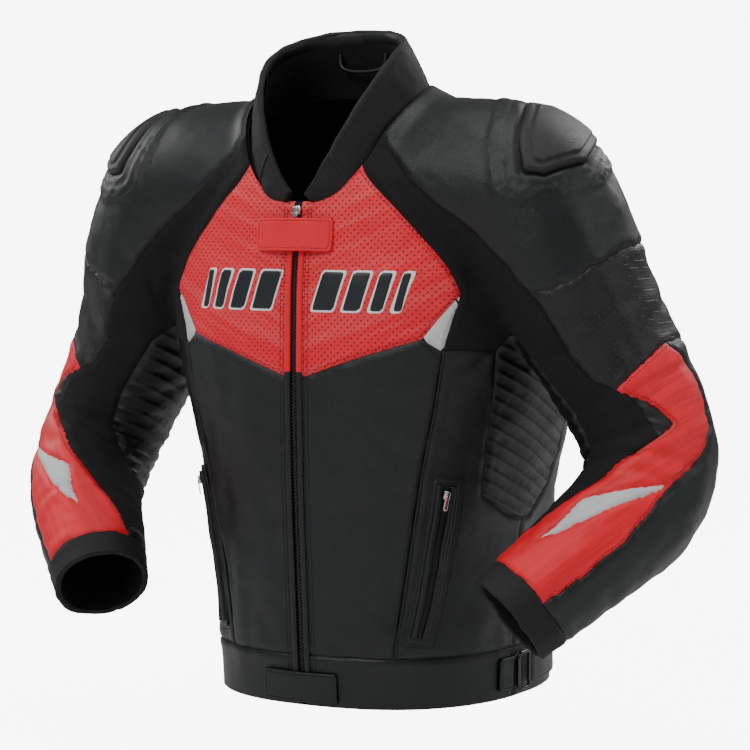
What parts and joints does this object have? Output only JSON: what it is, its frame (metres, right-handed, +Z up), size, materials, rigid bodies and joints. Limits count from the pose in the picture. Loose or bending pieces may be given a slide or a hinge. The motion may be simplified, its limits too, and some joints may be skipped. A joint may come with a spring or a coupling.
{
  "type": "leather riding jacket",
  "caption": "Short race-cut leather riding jacket in black and red with hard shoulder cups, ribbed stretch panels, a front zip, two pocket zips and waist adjusters.",
  "frame": {"origin": "middle of the hanging loop inside the back of the collar", "axes": "+Z up along the worn jacket, -Y out of the front, +X towards the wearer's left sleeve"},
  "size_m": [0.7508, 0.3796, 0.6518],
  "materials": {
    "black_leather": "grained satin cowhide",
    "red_leather": "satin, perforated at the chest",
    "stretch_fabric": "matte ribbed stretch",
    "neoprene": "matte",
    "lining": "mesh lining",
    "silver_reflective": "reflective film",
    "foam": "matte",
    "cup_plastic": "satin",
    "zip_teeth": "satin",
    "zip_metal": "polished",
    "ring_steel": "polished"
  },
  "bodies": {
    "jacket_body": {"armhole_gusset_left": "stretch_fabric", "armhole_gusset_right": "stretch_fabric", "back_panel_lower": "black_leather", "back_panel_upper": "black_leather", "back_protector": "foam", "chest_panel_left": "red_leather", "chest_panel_right": "red_leather", "chest_wedge_left": "silver_reflective", "chest_wedge_right": "silver_reflective", "collar_lining": "lining", "collar_shell": "neoprene", "front_panel_left": "black_leather", "front_panel_right": "black_leather", "hanging_loop": "black_leather", "lumbar_stretch": "stretch_fabric", "main_zip": "zip_teeth", "pocket_panel_left": "black_leather", "pocket_panel_right": "black_leather", "pocket_zip_left": "zip_teeth", "pocket_zip_right": "zip_teeth", "raglan_band_left": "stretch_fabric", "raglan_band_right": "stretch_fabric", "shoulder_yoke_left": "black_leather", "shoulder_yoke_right": "black_leather", "side_stretch_left": "stretch_fabric", "side_stretch_right": "stretch_fabric", "torso_liner": "lining", "waistband_back": "black_leather", "waistband_front_left": "black_leather", "waistband_front_right": "black_leather"},
    "main_zip_slider_body": {"main_zip_slider": "zip_metal"},
    "main_zip_puller_body": {"main_zip_puller": "zip_metal"},
    "garage_tab_body": {"garage_tab": "red_leather"},
    "hem_tab_body": {"hem_tab": "black_leather"},
    "sleeve_left": {"upper_sleeve_left": "black_leather", "shoulder_cup_left": "cup_plastic", "sleeve_liner_left": "lining", "elbow_gusset_left": "stretch_fabric"},
    "forearm_left": {"forearm_red_left": "red_leather", "forearm_chevron_left": "silver_reflective", "forearm_outer_left": "black_leather", "cuff_left": "neoprene", "elbow_pad_left": "foam"},
    "pocket_slider_left_body": {"pocket_slider_left": "zip_metal"},
    "waist_strap_left_body": {"waist_strap_left": "black_leather"},
    "waist_ring_left_body": {"waist_ring_left": "ring_steel"},
    "sleeve_right": {"upper_sleeve_right": "black_leather", "shoulder_cup_right": "cup_plastic", "sleeve_liner_right": "lining", "elbow_gusset_right": "stretch_fabric"},
    "forearm_right": {"forearm_red_right": "red_leather", "forearm_chevron_right": "silver_reflective", "forearm_outer_right": "black_leather", "cuff_right": "neoprene", "elbow_pad_right": "foam"},
    "pocket_slider_right_body": {"pocket_slider_right": "zip_metal"},
    "waist_strap_right_body": {"waist_strap_right": "black_leather"},
    "waist_ring_right_body": {"waist_ring_right": "ring_steel"}
  },
  "joints": [
    {"name": "shoulder_left", "type": "hinge", "parent": "jacket_body", "child": "sleeve_left", "pos_m": [0.225, -0.019, -0.121], "axis": [-1, 0, 0], "range_deg": [-5, 40], "deforming": ["armhole_gusset_left"]},
    {"name": "elbow_left", "type": "hinge", "parent": "sleeve_left", "child": "forearm_left", "pos_m": [0.312, -0.007, -0.375], "axis": [-0.564, 0.78, -0.271], "range_deg": [-25, 20], "deforming": ["elbow_gusset_left", "sleeve_liner_left"]},
    {"name": "shoulder_right", "type": "hinge", "parent": "jacket_body", "child": "sleeve_right", "pos_m": [-0.225, -0.019, -0.121], "axis": [-1, 0, 0], "range_deg": [-5, 40], "deforming": ["armhole_gusset_right"]},
    {"name": "elbow_right", "type": "hinge", "parent": "sleeve_right", "child": "forearm_right", "pos_m": [-0.312, -0.007, -0.375], "axis": [-0.564, -0.78, 0.271], "range_deg": [-25, 20], "deforming": ["elbow_gusset_right", "sleeve_liner_right"]},
    {"name": "main_zip_slide", "type": "slide", "parent": "jacket_body", "child": "main_zip_slider_body", "axis": [0, 0.1044, 0.9945], "range_m": [-0.074, 0]},
    {"name": "main_zip_pull_swing", "type": "hinge", "parent": "main_zip_slider_body", "child": "main_zip_puller_body", "pos_m": [0, -0.12466, -0.1315], "axis": [-1, 0, 0], "range_deg": [0, 140]},
    {"name": "garage_tab_lift", "type": "hinge", "parent": "jacket_body", "child": "garage_tab_body", "pos_m": [0.03968, -0.12409, -0.15851], "axis": [0, 0, 1], "range_deg": [0, 110]},
    {"name": "hem_tab_lift", "type": "hinge", "parent": "jacket_body", "child": "hem_tab_body", "pos_m": [0.03798, -0.11449, -0.59226], "axis": [0, 0, 1], "range_deg": [0, 110]},
    {"name": "pocket_slide_left", "type": "slide", "parent": "jacket_body", "child": "pocket_slider_left_body", "axis": [0.1805, 0.0398, 0.9828], "range_m": [-0.124, 0]},
    {"name": "waist_strap_peel_left", "type": "hinge", "parent": "jacket_body", "child": "waist_strap_left_body", "pos_m": [0.14109, 0.14211, -0.586], "axis": [0, 0, 1], "range_deg": [0, 60]},
    {"name": "waist_ring_swing_left", "type": "hinge", "parent": "jacket_body", "child": "waist_ring_left_body", "pos_m": [0.15805, 0.03086, -0.586], "axis": [0, 0, -1], "range_deg": [0, 50]},
    {"name": "pocket_slide_right", "type": "slide", "parent": "jacket_body", "child": "pocket_slider_right_body", "axis": [-0.1805, 0.0398, 0.9828], "range_m": [-0.124, 0]},
    {"name": "waist_strap_peel_right", "type": "hinge", "parent": "jacket_body", "child": "waist_strap_right_body", "pos_m": [-0.14109, 0.14211, -0.586], "axis": [0, 0, -1], "range_deg": [0, 60]},
    {"name": "waist_ring_swing_right", "type": "hinge", "parent": "jacket_body", "child": "waist_ring_right_body", "pos_m": [-0.15805, 0.03086, -0.586], "axis": [0, 0, 1], "range_deg": [0, 50]}
  ]
}
